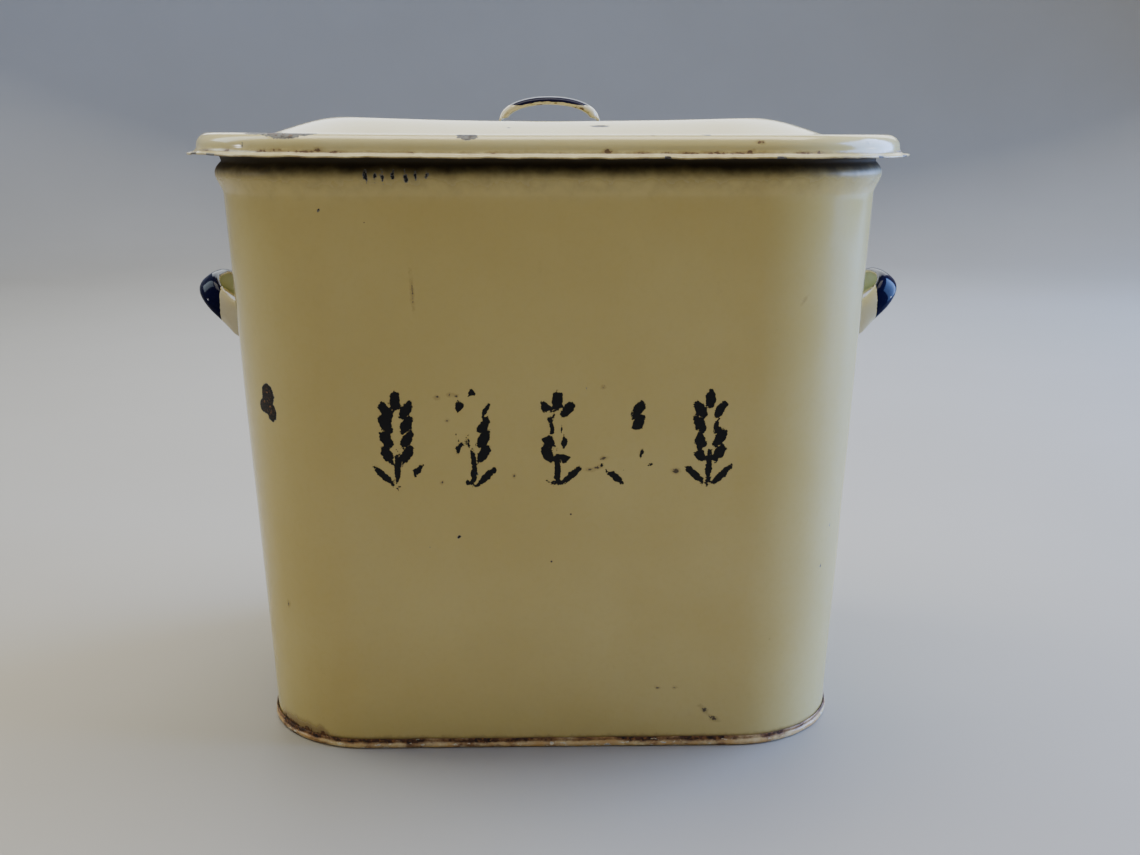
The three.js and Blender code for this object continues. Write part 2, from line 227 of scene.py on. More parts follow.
# ---- wear: where the marks are -----------------------------------------------------------
def marks(s, z, spots):
    """Signed distance, positive inside, to the nearest of the oval spots
    (s, z, half width, half height, turn in degrees), in millimetres."""
    field = np.full(np.shape(s), FAR)
    for s0, z0, wide, tall, turn in spots:
        c, n = math.cos(math.radians(turn)), math.sin(math.radians(turn))
        ds, dz = s - s0, z - z0
        reach = np.hypot((ds * c + dz * n) / wide, (dz * c - ds * n) / tall)
        field = np.maximum(field, (1 - reach) * min(wide, tall))
    return field


def wheat_ear(s, z):
    """Signed distance to a stencilled ear of wheat about 47 mm tall."""
    stem, top_grain = (0, -14, 1.8, 11, 0), (0, 20.5, 2.8, 5.5, 0)
    ovals = [stem, top_grain]
    for side in (-1, 1):
        grains = [(side * 4.9, v, 2.8, 5.6, side * -31) for v in (-6.5, 0.8, 8.1, 15.4)]
        leaf = (side * 6.8, -17.5, 2.0, 8.2, side * -46)
        ovals += [*grains, leaf]
    return marks(s, z, ovals)


# Ears on the front: the middle of each, and how much of its paint is left.
EARS = [(-75, 0.36), (-38, 0.0), (3, 0.22), (37, 0.05), (77, 0.38)]
EARS_Z = 166.5
PAINT_SWING, PAINT_PATCH = 11, 15   # of the paint's losses: strength and size

# Marks on the wall: s round it, height, half width, half height, turn in degrees.
WALL_CHIPS = [
    (-143.4, 186.5, 4.6, 6.2, 10), (-145.6, 181, 5.0, 4.0, 0), (-141.2, 178.5, 3.4, 5.4, 12),
    (-107, 277, 1.6, 0.7, 25), (-46, 117, 0.8, 0.8, 0), (-60, 111, 0.7, 0.7, 0),
    (101, 216.8, 0.8, 0.9, 0), (151, 114.5, 0.6, 1.0, 0), (144, 94, 0.7, 1.0, 0),
    (17, 192.5, 0.6, 0.5, 0), (61, 53, 0.8, 0.7, 0), (138, 268, 0.8, 0.7, 0),
    (-84, 292.8, 0.9, 2.4, 8), (-79.6, 292.6, 0.55, 2.1, 10), (-76.3, 292.8, 0.55, 2.3, 7),
    (-71.6, 293, 0.7, 2.2, 6), (-65.6, 292.4, 0.8, 2.6, 9), (-61, 292.8, 0.6, 2.2, 7),
    (-56, 292.7, 0.7, 2.2, 8), (-37, 150, 1.0, 0.8, 0),
    (300, 120, 2.4, 3.8, 15), (262, 236, 1.4, 1.0, 0), (-262, 60, 3.0, 2.0, 30),
    (-330, 205, 1.2, 1.6, 0), (250, 31, 2.2, 3.0, 0), (410, 262, 1.5, 1.0, 0),
    (-400, 95, 0.9, 0.9, 0), (380, 60, 3.6, 1.6, -20),
]
WALL_SPOTS = [
    (-55, 188.4, 1.2, 0.9, 0), (-48.8, 190, 0.9, 0.8, 0), (-45.6, 189.4, 0.9, 0.7, 0),
    (-73.5, 158, 1.0, 1.2, 0), (-73.3, 154.6, 0.9, 1.1, 0), (25.4, 157.6, 1.5, 0.8, 20),
    (22.7, 153, 1.9, 0.7, 15), (18.6, 151.8, 1.4, 0.7, 0), (61, 151, 1.9, 1.2, 0),
    (72.9, 164.4, 1.2, 1.2, 0), (25, 193.4, 0.8, 0.6, 0), (-50.3, 176.8, 0.9, 0.7, 0),
    (-18.4, 148.7, 0.8, 0.8, 0), (-53.6, 145.3, 0.7, 0.7, 0), (33.6, 146.4, 0.7, 0.6, 0),
    (78.6, 20.5, 3.0, 1.2, -44), (84, 15.2, 2.6, 1.2, -26), (54, 33.5, 1.4, 0.7, -30),
    (63, 33.5, 1.6, 0.6, -30), (31, 45, 0.9, 0.7, 0), (-65, 240, 0.5, 5.0, 3),
    (121, 235, 0.45, 1.9, -35), (-139, 76, 1.0, 1.6, 0), (10, 118, 0.6, 0.6, 0),
    (-118, 40, 0.7, 0.7, 0), (112, 60, 0.6, 0.8, 0), (-280, 140, 2.0, 3.0, 0),
    (280, 80, 1.6, 1.2, 0), (390, 180, 2.4, 1.2, 20), (-380, 30, 3.0, 1.4, 10),
]
# Rust creeping up from the hem: its height, and a corner where it climbs further.
FOOT_RUST = 8.6
CORNER_RUST = (-138, 20, 15)    # middle, half length, height
# Rust along the seam of the hem: middle, half length, strength.
HEM_RUST = [(-112, 44, 1.0), (-28, 32, 0.72), (66, 24, 0.95), (-205, 34, 0.8), (205, 16, 0.7),
            (300, 50, 0.8), (-330, 60, 0.7), (430, 50, 0.85)]
HEM_RUST_LOW = 0.3              # everywhere else


def foot_rust(s, z):
    """Share of rust at the foot of the wall."""
    middle, half, top = CORNER_RUST
    near = 1 - smooth(half - 5, half + 7, np.abs(s - middle))
    return 1 - smooth(0.30, 1.0, z / np.maximum(FOOT_RUST, near * top))


def hem_rust(s):
    """Share of rust along the hem."""
    share = np.full(np.shape(s), HEM_RUST_LOW)
    for middle, half, strength in HEM_RUST:
        near = 1 - smooth(half - 8, half + 10, np.abs(s - middle))
        share = np.maximum(share, strength * near)
    return share


# ---- pieces: the body --------------------------------------------------------------------
def wall_section():
    """Rows of (z, out, outer skin?) up the outside, round the curl and down the inside."""
    curl = WIRE_R + GAP
    neck = WIRE_OUT - curl
    outer = []
    band_tops = [low for low, _ in WALL_BANDS[1:]] + [BEAD_LOW]
    for (low, count), high in zip(WALL_BANDS, band_tops):
        outer += [(z, 0.0) for z in np.linspace(low, high, count, endpoint=False)]
    plain = len(outer)
    for t in np.linspace(0, 1, BEAD_ROWS):
        outer.append((mix(BEAD_LOW, BEAD_HIGH, t), BEAD_BULGE * math.sin(math.pi * t ** 1.5)))
    for t in np.linspace(0, 1, NECK_ROWS + 1)[1:]:
        z = mix(BEAD_HIGH, WIRE_Z - NECK_DROP, t)
        outer.append((z, neck * t * t * (3 - 2 * t)))
    # the inside keeps every fourth row of the plain wall, and all of them at its ends
    keep = [i for i in range(len(outer)) if i % 4 == 0 or i >= plain or i < 3]
    inner = [(outer[i][0], outer[i][1] - SHEET) for i in keep]
    for angle in np.radians(np.linspace(178, -92, CURL_ROWS)):
        for skin, radius in ((outer, curl), (inner, curl + SHEET)):
            skin.append((WIRE_Z + radius * math.sin(angle), WIRE_OUT + radius * math.cos(angle)))
    return [(z, out, 1) for z, out in outer] + [(z, out, 0) for z, out in reversed(inner)]


def body_wall():
    """The wall, its bead and its open curl in one sheet, with all of its wear."""
    rows, run, heights, outside = [], [], [], []
    for z, out, skin in wall_section():
        x, y, s = wall_ring(z, out)
        height = np.full_like(s, z)
        # shallow waves, and the lapped seam up the middle of the back, die out at both ends
        free = float(smooth(4, 40, z) * (1 - smooth(255, 280, z)))
        from_back = np.abs(s).max() - np.abs(s)
        push = WAVE_DEPTH * free * rough_noise(s, height, WAVE_LENGTH, seed=3.1, octaves=2)
        push = push + LAP_RISE * skin * free * smooth(LAP_FROM, LAP_FULL, from_back)
        x, y = pushed(x, y, push)
        rows.append(np.stack([x, y, height], 1))
        run.append(s)
        heights.append(height)
        outside.append(np.full_like(s, skin))
    s, z, outer = np.array(run), np.array(heights), np.array(outside)
    ears = np.full(s.shape, FAR)
    for centre, left in EARS:
        paint = PAINT_SWING * (rough_noise(s, z, PAINT_PATCH, seed=4.4, octaves=2) + left)
        ears = np.maximum(ears, np.minimum(wheat_ear(s - centre, z - EARS_Z), paint))
    # painted shade of the lid's overhang, with some dirt in it: a film over the bead, dense on the
    # neck
    under_lid = 0.32 * smooth(277, 291, z) + 0.68 * smooth(289.5, 299.5, z)
    fields = {
        "chip": np.where(outer > 0, marks(s, z, WALL_CHIPS), FAR),
        "spot": np.where(outer > 0, marks(s, z, WALL_SPOTS), FAR),
        "stencil": np.where(outer > 0, ears, FAR),
        # the painted shade fades to half round the sides and the back
        "lid_shade_and_dirt": outer * under_lid * (1 - 0.5 * smooth(170, 300, np.abs(s))),
        "rust": np.where(outer > 0, foot_rust(s, z), 0.5 * smooth(20, 6, z) + 0.3 * under_lid),
    }
    return skin_mesh("body_wall_sheet", rows, looped=True, fields=fields)


def base_pan():
    """Recessed floor with a pressed ring, and its folded hem round the foot. The section
    is (height, way out), from the middle of the floor round the hem and back under it."""
    inner, outer = -SHEET - GAP, GAP + HEM_SHEET
    floor, fold = FLOOR_UNDER + HEM_SHEET, inner - HEM_SHEET
    top = [(floor + up, out) for up, out in FLOOR_RING]
    top += [(floor, inner - 8), (floor, inner - 3), (floor + 0.35, inner - 1.2),
            (floor + 0.6, inner - 0.3), (floor + 0.5, inner), (2.4, inner), (0.8, inner),
            (0.8, GAP), (2.4, GAP), (HEM_HEIGHT - 0.5, GAP), (HEM_HEIGHT - 0.1, GAP + 0.12)]
    hem = [(HEM_HEIGHT, outer - 0.4), (HEM_HEIGHT - 0.2, outer - 0.15),
           (HEM_HEIGHT - 0.6, outer - 0.06), (4.1, outer - 0.1), (3.7, outer - 0.16),
           (3.3, outer - 0.08), (2.95, outer + 0.16), (2.55, outer + 0.42), (2.0, outer + 0.58),
           (1.4, outer + 0.6), (0.85, outer + 0.45), (0.4, outer + 0.12), (0.1, outer - 0.4)]
    under = [(0, outer - 0.9), (0, fold + 0.7), (0.12, fold + 0.25), (0.6, fold),
             (3.6, fold), (4.4, fold - 0.2), (FLOOR_UNDER, fold - 1.2), (FLOOR_UNDER, inner - 8)]
    under += [(FLOOR_UNDER + up, out) for up, out in FLOOR_RING[::-1]]
    centre_out = -56                # inside this ring the floor shrinks towards its middle
    middle_way = centre_out - FLOOR_RING[0][1]
    rows, rust, rise = [], [], []
    for z, out in top + hem + under:
        x, y, s = wall_ring(z, max(out, centre_out))
        if out < centre_out:
            shrink = mix(1, MIDDLE_SHRINK, (centre_out - out) / middle_way)
            x, y = x * shrink, y * shrink
        height = np.full_like(s, float(z))
        if (z, out) in hem:
            # dents all over it, and an upper edge that wanders
            x, y = pushed(x, y, 0.2 * rough_noise(s, height, 13, seed=1.7) - 0.1)
            height = height + (z > 3) * (0.38 * rough_noise(s, 0 * s, 17, seed=8.4) - 0.1)
        rows.append(np.stack([x, y, height], 1))
        rise.append(np.full_like(s, float(z)))
        rust.append(hem_rust(s) if (z, out) in hem else np.full_like(s, 0.55))
    return skin_mesh("base_pan_hem", rows, capped=True, fields={"rust": rust, "rise": rise})


def rim_wire():
    """Round wire inside the curl of the rim."""
    rows = []
    for angle in np.linspace(0, 2 * math.pi, WIRE_SIDES, endpoint=False):
        x, y, _ = wall_ring(WALL_TOP, WIRE_OUT + WIRE_R * math.cos(angle))
        rows.append(np.stack([x, y, np.full_like(x, WIRE_Z + WIRE_R * math.sin(angle))], 1))
    return skin_mesh("rim_wire_core", rows, looped=True)


# ---- pieces: the lid ---------------------------------------------------------------------
# Marks on the lid: s round it, the way over the sheet up from the foot of the skirt, and
# the rest as on the wall.
LID_CHIPS = [
    (-132, 11.8, 9.0, 1.6, 4), (-120, 10.9, 9.5, 3.5, 0), (-110, 11.8, 6.0, 2.2, 8),
    (-37.2, 10.4, 4.6, 2.9, -6), (24, 58, 4.6, 1.9, 0), (-142, 4.2, 0.9, 1.2, 0),
    (-20, 55, 0.6, 0.8, 0), (225, 11, 3.2, 1.6, 0), (-300, 10.5, 4.8, 2.2, 0),
    (330, 58, 2.4, 1.6, 0), (-420, 9.6, 2.4, 1.4, 0), (70, 12.2, 2.0, 1.0, 0),
]
LID_SPOTS = [
    (94, 6.6, 1.5, 0.9, 0), (46, 11.5, 0.7, 0.6, 0), (150, 6.0, 0.9, 0.8, 0),
    (-58, 42, 1.0, 0.8, 0), (-131, 1.6, 3.4, 0.7, 0), (-123, 2.0, 2.2, 0.7, 0),
    (-110.5, 1.5, 5.6, 0.7, 0), (-103, 2.6, 1.6, 0.9, 0), (-96, 1.4, 2.8, 0.6, 0),
    (-62, 1.3, 1.4, 0.5, 0), (-25.8, 1.3, 1.8, 0.5, 0), (5, 1.2, 1.4, 0.5, 0),
    (25.5, 2.2, 1.8, 1.1, 0), (41.4, 1.5, 4.4, 0.5, 0), (52, 1.4, 3.2, 0.5, 0),
    (62, 1.5, 4.2, 0.6, 0), (74, 1.6, 5.4, 0.7, 0), (84, 1.5, 3.6, 0.6, 0),
    (89.5, 2.0, 1.8, 1.0, 20), (114, 1.4, 3.4, 0.6, 0), (121.4, 1.6, 2.4, 0.8, 0),
    (-152, 1.6, 2.4, 0.7, 0), (190, 1.5, 7, 0.7, 0), (-170, 1.4, 5, 0.6, 0),
    (-215, 1.5, 8, 0.7, 0), (-330, 1.4, 12, 0.6, 0), (300, 1.4, 9, 0.7, 0),
    (430, 1.5, 7, 0.6, 0),
]
# Places where the rim of the flange has lost its enamel: s, and length.
FLANGE_TEARS = [(-162, 7), (-181, 9), (-214, 12), (52, 2.5), (103, 3.5), (158, 4), (186, 8),
                (236, 10), (-262, 12), (300, 10), (-360, 14), (400, 9), (470, 12)]
TEAR_REACH = 1.3                # in from the rim


def lid_section(drop):
    """Rows (inset or dish scale, z, lift, in the dish?) of the face `drop` below the top:
    the dish, the slope from its crest, the flat step, the round edge and the skirt."""
    rows = []
    for scale in (0.04, 0.2, 0.36, 0.5, 0.56, 0.62, 0.68, 0.74, 0.8, 0.85, 0.9, 0.94, 0.97):
        z = mix(SEAT_Z, CREST_Z, smooth(0.5, 1.02, scale)) - drop
        rows.append((scale, z, CREST_LIFT * smooth(0.5, 1.0, scale), True))
    for t in np.linspace(0, 1, 19):
        fall = (1 - math.cos(min(t * 1.06, 1) * math.pi / 2)) ** 0.9
        z = mix(CREST_Z, STEP_Z, fall) - drop
        rows.append((mix(CREST_INSET, FOOT_INSET, t), z, CREST_LIFT * (1 - fall), False))
    for inset in (FOOT_INSET - 1.2, 29, 24, 19, 15, 11, 8.5, 6.9):
        rows.append((inset, STEP_Z - drop, 0, False))
    radius = EDGE_ROUND - drop
    for angle in np.radians(np.linspace(90, 0, 13)):
        z = STEP_Z - EDGE_ROUND + radius * math.sin(angle)
        rows.append((EDGE_ROUND - radius * math.cos(angle), z, 0, False))
    foot = SKIRT_FOOT - 0.4 * drop
    rows += [(drop + inset, foot + up, 0, False) for inset, up in FLANGE_BEND]
    return rows


def lid_shell():
    """One pressing with a worn, dented flange and a left end that is bent up a little."""
    rim = [(inset - FLANGE_OUT, SKIRT_FOOT + up, 0, False) for inset, up in FLANGE_RIM]
    upper = lid_section(0.0) + rim[:3]
    section = upper + rim[3:] + lid_section(SHEET)[::-1]
    # the way over the upper face, measured up from the foot of the skirt
    across = [mix(CREST_INSET + DISH_WIDTH, CREST_INSET, place) if dish else place
              for place, _, _, dish in upper]
    step = np.hypot(np.diff(across), np.diff([row[1] for row in upper]))
    way = np.concatenate([np.cumsum(step[::-1])[::-1], [0]]) - SKIRT_FOOT_WAY
    rows, chip, spot, rust = [], [], [], []
    for i, (place, z, lift, dish) in enumerate(section):
        x, y, s = lid_ring(CREST_INSET if dish else place)
        if dish:
            x, y, s = x * place, y * place, s * place
        height = z + lift * (x / np.abs(x).max()) ** 2 + LID_WARP * smooth(20, 200, -x)
        turned_out = float(smooth(0.5, -FLANGE_OUT, place)) if not dish else 0.0
        ragged = rough_noise(s, 0 * s, 11, seed=5.2, octaves=4)
        swell = rough_noise(s, 0 * s, 60, seed=2.2, octaves=2)
        height = height + turned_out * (0.28 * ragged + 0.45 * swell)
        x, y = pushed(x, y, turned_out * (0.25 * ragged + 0.25 * swell - 0.35))
        rows.append(np.stack([x, y, height], 1))
        in_reach = TEAR_REACH - abs(place + FLANGE_OUT)
        tears = [np.minimum(in_reach, long / 2 - np.abs(s - at)) for at, long in FLANGE_TEARS]
        torn = np.full_like(s, FAR) if dish else np.max(tears, 0)
        if i < len(upper):
            climb = np.full_like(s, way[i])
            chip.append(np.maximum(marks(s, climb, LID_CHIPS), torn))
            spot.append(marks(s, climb, LID_SPOTS))
            crease = math.exp(-(way[i] - CREASE_WAY) ** 2)
            rust.append(max(0.40 * turned_out, 0.56 * crease) + 0 * s)
        else:
            chip.append(torn)
            spot.append(np.full_like(s, FAR))
            rust.append(0.25 + 0.6 * turned_out + 0 * s)
    fields = {"chip": chip, "spot": spot, "rust": rust}
    return skin_mesh("lid_pressing", rows, capped=True, fields=fields)


# ---- pieces: strap handles and rivets ----------------------------------------------------
def strap_section(width, turned, channel, sheet):
    """Outer and inner points of the strap's section: flat at the feet, and where it is
    `turned` in, a channel whose edges hang `channel` below its crown."""
    angle = np.linspace(0, math.pi, 25)
    across = -np.sign(np.cos(angle)) * np.abs(np.cos(angle)) ** CROWN_POWER
    fall = turned * (1 - np.clip(np.sin(angle), 0, 1) ** CROWN_POWER)
    edge = turned * sheet
    outer = np.stack([width / 2 * across, sheet / 2 - channel * fall], 1)
    inner = np.stack([(width / 2 - edge) * across, -sheet / 2 - (channel - sheet) * fall], 1)
    return outer, inner[::-1]


def rounded_lip(start, end):
    """Three points that round the edge of the sheet off from `start` to `end`."""
    middle, half = (start + end) / 2, (end - start) / 2
    away = np.array([half[1], -half[0]])
    return [middle - half * math.cos(a) - away * 0.75 * math.sin(a)
            for a in np.radians([38, 90, 142])]


def strap_handle(name, h, place):
    """Pressed strap handle: toe, heel bend, arch, heel bend, toe. `h` holds its sizes, and
    `place` carries its own frame (X off the face, Y from foot to foot) to the bin's."""
    face = GAP + h["sheet"] / 2

    def tilt(u):
        """How far the strap leans upward at the way `u` off the face."""
        return math.radians(mix(h["root"], h["grip"], u / h["reach"]))

    def spread(u):
        """X and Z of the way `u` along the tilted arch."""
        return u * math.cos(tilt(u / 2)), u * math.sin(tilt(u / 2))

    half = []
    toe_foot = -h["span"] - h["heel"]
    for angle in np.radians(np.linspace(0, 90, 9)):
        back = h["toe"] - TOE_ROUND * (1 - math.cos(angle))
        half.append((0, toe_foot - back, h["foot"] * mix(0.5, 1, math.sin(angle))))
    half += [(0, toe_foot - back, h["foot"]) for back in (9, 7, 5, 3, 1.2)]
    for angle in np.radians(np.linspace(0, 90, 9)):
        u = h["heel"] * (1 - math.cos(angle))
        half.append((u, -h["span"] - h["heel"] * (1 - math.sin(angle)), h["foot"]))
    for t in np.linspace(0, 1, 44)[1:]:
        angle = t ** 1.6 * math.pi / 2
        power = 2 / h["roundness"]
        u = h["heel"] + (h["reach"] - h["heel"]) * math.sin(angle) ** power
        v = -h["span"] * max(math.cos(angle), 0) ** power
        half.append((u, v, mix(h["foot"], h["width"], float(smooth(0, 0.4, t)))))
    stations = half + [(u, -v, w) for u, v, w in half[-2::-1]]
    centres = [Vector((face + spread(u)[0], v, spread(u)[1])) for u, v, _ in stations]
    rows, navy, edge, within = [], [], [], []
    for i, (u, v, width) in enumerate(stations):
        before, after = centres[max(i - 1, 0)], centres[min(i + 1, len(centres) - 1)]
        clear = 0.95 * spread(u)[0] / (width / 2)
        lean = math.asin(min(math.sin(tilt(u)), clear))
        wide = Vector((-math.sin(lean), 0, math.cos(lean)))
        outward = (after - before).normalized().cross(wide).normalized()
        turned = float(smooth(h["heel"], 0.4 * h["reach"], u))
        outer, inner = strap_section(width, turned, h["channel"], h["sheet"])
        lips = rounded_lip(outer[-1], inner[0]), rounded_lip(inner[-1], outer[0])
        section = [*outer, *lips[0], *inner, *lips[1]]
        points = [centres[i] + wide * a + outward * b for a, b in section]
        rows.append([place @ point for point in points])
        # how far each outer point is, over the sheet, from the nearer edge
        way = np.concatenate([[0], np.cumsum(np.hypot(*np.diff(outer, axis=0).T))])
        to_edge = np.minimum(way, way[-1] - way)
        coat = np.minimum([p.x - h["navy"] for p in points[:len(outer)]], to_edge - h["bare"])
        bare_rest = np.full(len(section) - len(outer), -3.0)
        near_edge = turned * np.clip(1 - to_edge / 1.6, 0, 1)
        lip, flat = np.full(len(lips[0]), turned), np.zeros(len(inner))
        navy.append(np.concatenate([coat, bare_rest]))
        edge.append(np.concatenate([near_edge, lip, flat, lip]))
        within.append(np.concatenate([0 * to_edge, 0 * lip, flat + 1, 0 * lip]))
    fields = {"navy": navy, "edge": edge, "inner": within}
    return skin_mesh(name, rows, capped=True, fields=fields)


def rivet_piece(name, size, out, inside, place):
    """Domed rivet along its own X, with a formed head inside."""
    formed = size["head"] * 0.85
    profile = [(out + 0.25 + (size["dome"] - 0.25) * math.cos(a), size["head"] * math.sin(a))
               for a in np.radians(np.linspace(8, 90, 8))]
    profile += [(out + 0.08, size["head"] * 0.99), (out, size["head"] * 0.93), (out, size["shank"]),
                (inside, size["shank"]), (inside, formed * 0.94), (inside - 0.12, formed),
                (inside - 0.5, formed * 0.93), (inside - 0.95, formed * 0.7),
                (inside - 1.18, formed * 0.3)]
    rows = []
    for along, radius in profile:
        ring = []
        for angle in np.linspace(0, 2 * math.pi, RIVET_SIDES, endpoint=False):
            spot = Vector((along, radius * math.cos(angle), radius * math.sin(angle)))
            ring.append(place @ spot)
        rows.append(ring)
    return skin_mesh(name, rows, capped=True)


def handle_set(body, name, handle, rivet, mount, corners, looks):
    """One strap handle and its four rivets, which replace their CAD nodes."""
    strap_look, rivet_look = looks
    piece = strap_handle(f"{name}_strap", handle, mount)
    finish_piece(piece, strap_look, body, name)
    out = 2 * GAP + handle["sheet"]
    places = [(end, side) for end in (-1, 1) for side in (-1, 1)]
    for (end, side), corner in zip(places, corners):
        y = end * (handle["span"] + handle["heel"] + handle["toe"] * RIVET_PLACE)
        place = mount @ Matrix.Translation((0, y, side * rivet["pitch"] / 2))
        node = f"{name}_rivet_{corner}"
        piece = rivet_piece(f"{node}_head", rivet, out, -SHEET - GAP, place)
        finish_piece(piece, rivet_look, body, node)


# ---- materials ---------------------------------------------------------------------------
class Look:
    """Builds one node material in coats, from the bottom up."""

    def __init__(self, name, color, rough):
        self.material = bpy.data.materials.new(name)
        self.material.use_nodes = True
        self.nodes = self.material.node_tree.nodes
        self.links = self.material.node_tree.links
        self.nodes.clear()
        self.shader = self.nodes.new("ShaderNodeBsdfPrincipled")
        output = self.nodes.new("ShaderNodeOutputMaterial")
        self.links.new(self.shader.outputs[0], output.inputs[0])
        self.place = self.nodes.new("ShaderNodeTexCoord").outputs["Object"]
        self.color, self.rough, self.metal, self.height = color, rough, 0.0, None
        self.shine = 0.5

    def put(self, socket, value):
        """Links another node's output to a socket, or sets a colour or a number on it."""
        if isinstance(value, bpy.types.NodeSocket):
            self.links.new(value, socket)
        elif isinstance(value, tuple):
            socket.default_value = (*value, 1.0)
        else:
            socket.default_value = value

    def math(self, kind, a, b):
        node = self.nodes.new("ShaderNodeMath")
        node.operation = kind
        self.put(node.inputs[0], a)
        self.put(node.inputs[1], b)
        return node.outputs[0]

    def blend(self, share, a, b):
        """`a` where share is 0, `b` where it is 1; colours or numbers."""
        is_color = isinstance(b, tuple) or getattr(b, "type", "") == "RGBA"
        node = self.nodes.new("ShaderNodeMix")
        node.data_type = "RGBA" if is_color else "FLOAT"
        low, high, out = (6, 7, 2) if is_color else (2, 3, 0)
        self.put(node.inputs[0], share)
        self.put(node.inputs[low], a)
        self.put(node.inputs[high], b)
        return node.outputs[out]

    def field(self, name):
        """One of the mesh's fields."""
        node = self.nodes.new("ShaderNodeAttribute")
        node.attribute_name = name
        return node.outputs["Fac"]

    def moved(self, shift, stretch=(1, 1, 1)):
        """The object's own coordinates, shifted and stretched."""
        mapping = self.nodes.new("ShaderNodeMapping")
        mapping.inputs["Scale"].default_value = stretch
        mapping.inputs["Location"].default_value = (shift, shift * 0.7, shift * 1.3)
        self.links.new(self.place, mapping.inputs["Vector"])
        return mapping.outputs[0]

    def noise(self, scale, detail=3, stretch=(1, 1, 1), shift=0.0, roughness=0.55):
        """Noise about 0.5; `scale` is in features per metre."""
        node = self.nodes.new("ShaderNodeTexNoise")
        node.inputs["Scale"].default_value = scale
        node.inputs["Detail"].default_value = detail
        node.inputs["Roughness"].default_value = roughness
        self.links.new(self.moved(shift, stretch), node.inputs["Vector"])
        return node.outputs["Fac"]

    def above(self, value, edge, soft):
        """0 below `edge`, 1 above it, over a soft step."""
        node = self.nodes.new("ShaderNodeMapRange")
        node.interpolation_type = "SMOOTHSTEP"
        self.put(node.inputs["Value"], value)
        node.inputs["From Min"].default_value = edge - soft
        node.inputs["From Max"].default_value = edge + soft
        return node.outputs[0]

    def jagged(self, field, grain, size, edge, soft, shift=0.0):
        """A signed distance in millimetres, cut along an edge that noise roughens."""
        swing = self.math("SUBTRACT", self.noise(grain, 4, shift=shift, roughness=0.6), 0.5)
        return self.above(self.math("ADD", field, self.math("MULTIPLY", swing, size)), edge, soft)

    def specks(self, scale, share, radius, shift=0.0):
        """Small round spots in a share of the cells of a Voronoi grid."""
        node = self.nodes.new("ShaderNodeTexVoronoi")
        node.inputs["Scale"].default_value = scale
        self.links.new(self.moved(shift), node.inputs["Vector"])
        pick = self.nodes.new("ShaderNodeSeparateColor")
        self.links.new(node.outputs["Color"], pick.inputs[0])
        chosen = self.above(pick.outputs[0], 1 - share, 0.001)
        size = self.math("MULTIPLY", self.math("ADD", pick.outputs[1], 0.4), radius)
        inside = self.math("SUBTRACT", size, node.outputs["Distance"])
        return self.math("MULTIPLY", chosen, self.above(inside, 0.0, radius * 0.25))

    def share(self, mask, amount):
        return self.math("MULTIPLY", mask, amount)

    def over(self, mask, color, rough, metal=0.0, height=0.0, shine=0.5):
        """Lays a coat over what is there; `height` is in millimetres."""
        self.color = self.blend(mask, self.color, color)
        self.rough = self.blend(mask, self.rough, rough)
        if shine != 0.5 or self.shine != 0.5:
            self.shine = self.blend(mask, self.shine, shine)
        if metal or self.metal:
            self.metal = self.blend(mask, self.metal, metal)
        if height:
            self.emboss(self.share(mask, height))

    def emboss(self, height):
        """Adds to the bump height, in millimetres."""
        self.height = height if self.height is None else self.math("ADD", self.height, height)

    def done(self, ior=1.5):
        self.put(self.shader.inputs["Base Color"], self.color)
        self.put(self.shader.inputs["Roughness"], self.rough)
        self.put(self.shader.inputs["Metallic"], self.metal)
        self.put(self.shader.inputs["Specular IOR Level"], self.shine)
        self.shader.inputs["IOR"].default_value = ior
        if self.height is not None:
            bump = self.nodes.new("ShaderNodeBump")
            bump.inputs["Strength"].default_value = 1.0
            bump.inputs["Distance"].default_value = MM
            self.links.new(self.height, bump.inputs["Height"])
            self.links.new(bump.outputs[0], self.shader.inputs["Normal"])
        return self.material


# Colours, linear red, green and blue.
CREAM = (0.60, 0.467, 0.155)
CREAM_PALE = (0.64, 0.515, 0.198)
CREAM_DARK = (0.53, 0.390, 0.105)
LID_CREAM = (0.71, 0.60, 0.27)
HANDLE_CREAM = (0.62, 0.54, 0.33)
# darker, greener cream: painted shade in the hollow of the strap's channel
HANDLE_INNER_SHADE = (0.42, 0.49, 0.36)
HEM_CREAM = (0.82, 0.66, 0.33)
NAVY = (0.004, 0.004, 0.024)
BLACK_PAINT = (0.003, 0.003, 0.004)
GROUND_COAT = (0.012, 0.009, 0.007)     # under the cream, where a chip lays it bare
LID_GROUND = (0.17, 0.165, 0.148)
LID_GROUND_DARK = (0.060, 0.050, 0.042)
CHIP_EDGE = (0.16, 0.15, 0.13)
LID_CHIP_EDGE = (0.11, 0.098, 0.082)
SPOT = (0.038, 0.020, 0.010)
LID_SPOT = (0.12, 0.055, 0.020)
SPOT_HALO = (0.22, 0.105, 0.028)
PINHOLE = (0.05, 0.026, 0.012)
FINE_PINHOLE = (0.085, 0.045, 0.018)
HANDLE_PINHOLE = (0.08, 0.04, 0.02)
# colour of the painted shade under the lid, which also stands for dirt there
LID_SHADE_AND_DIRT = (0.017, 0.011, 0.007)
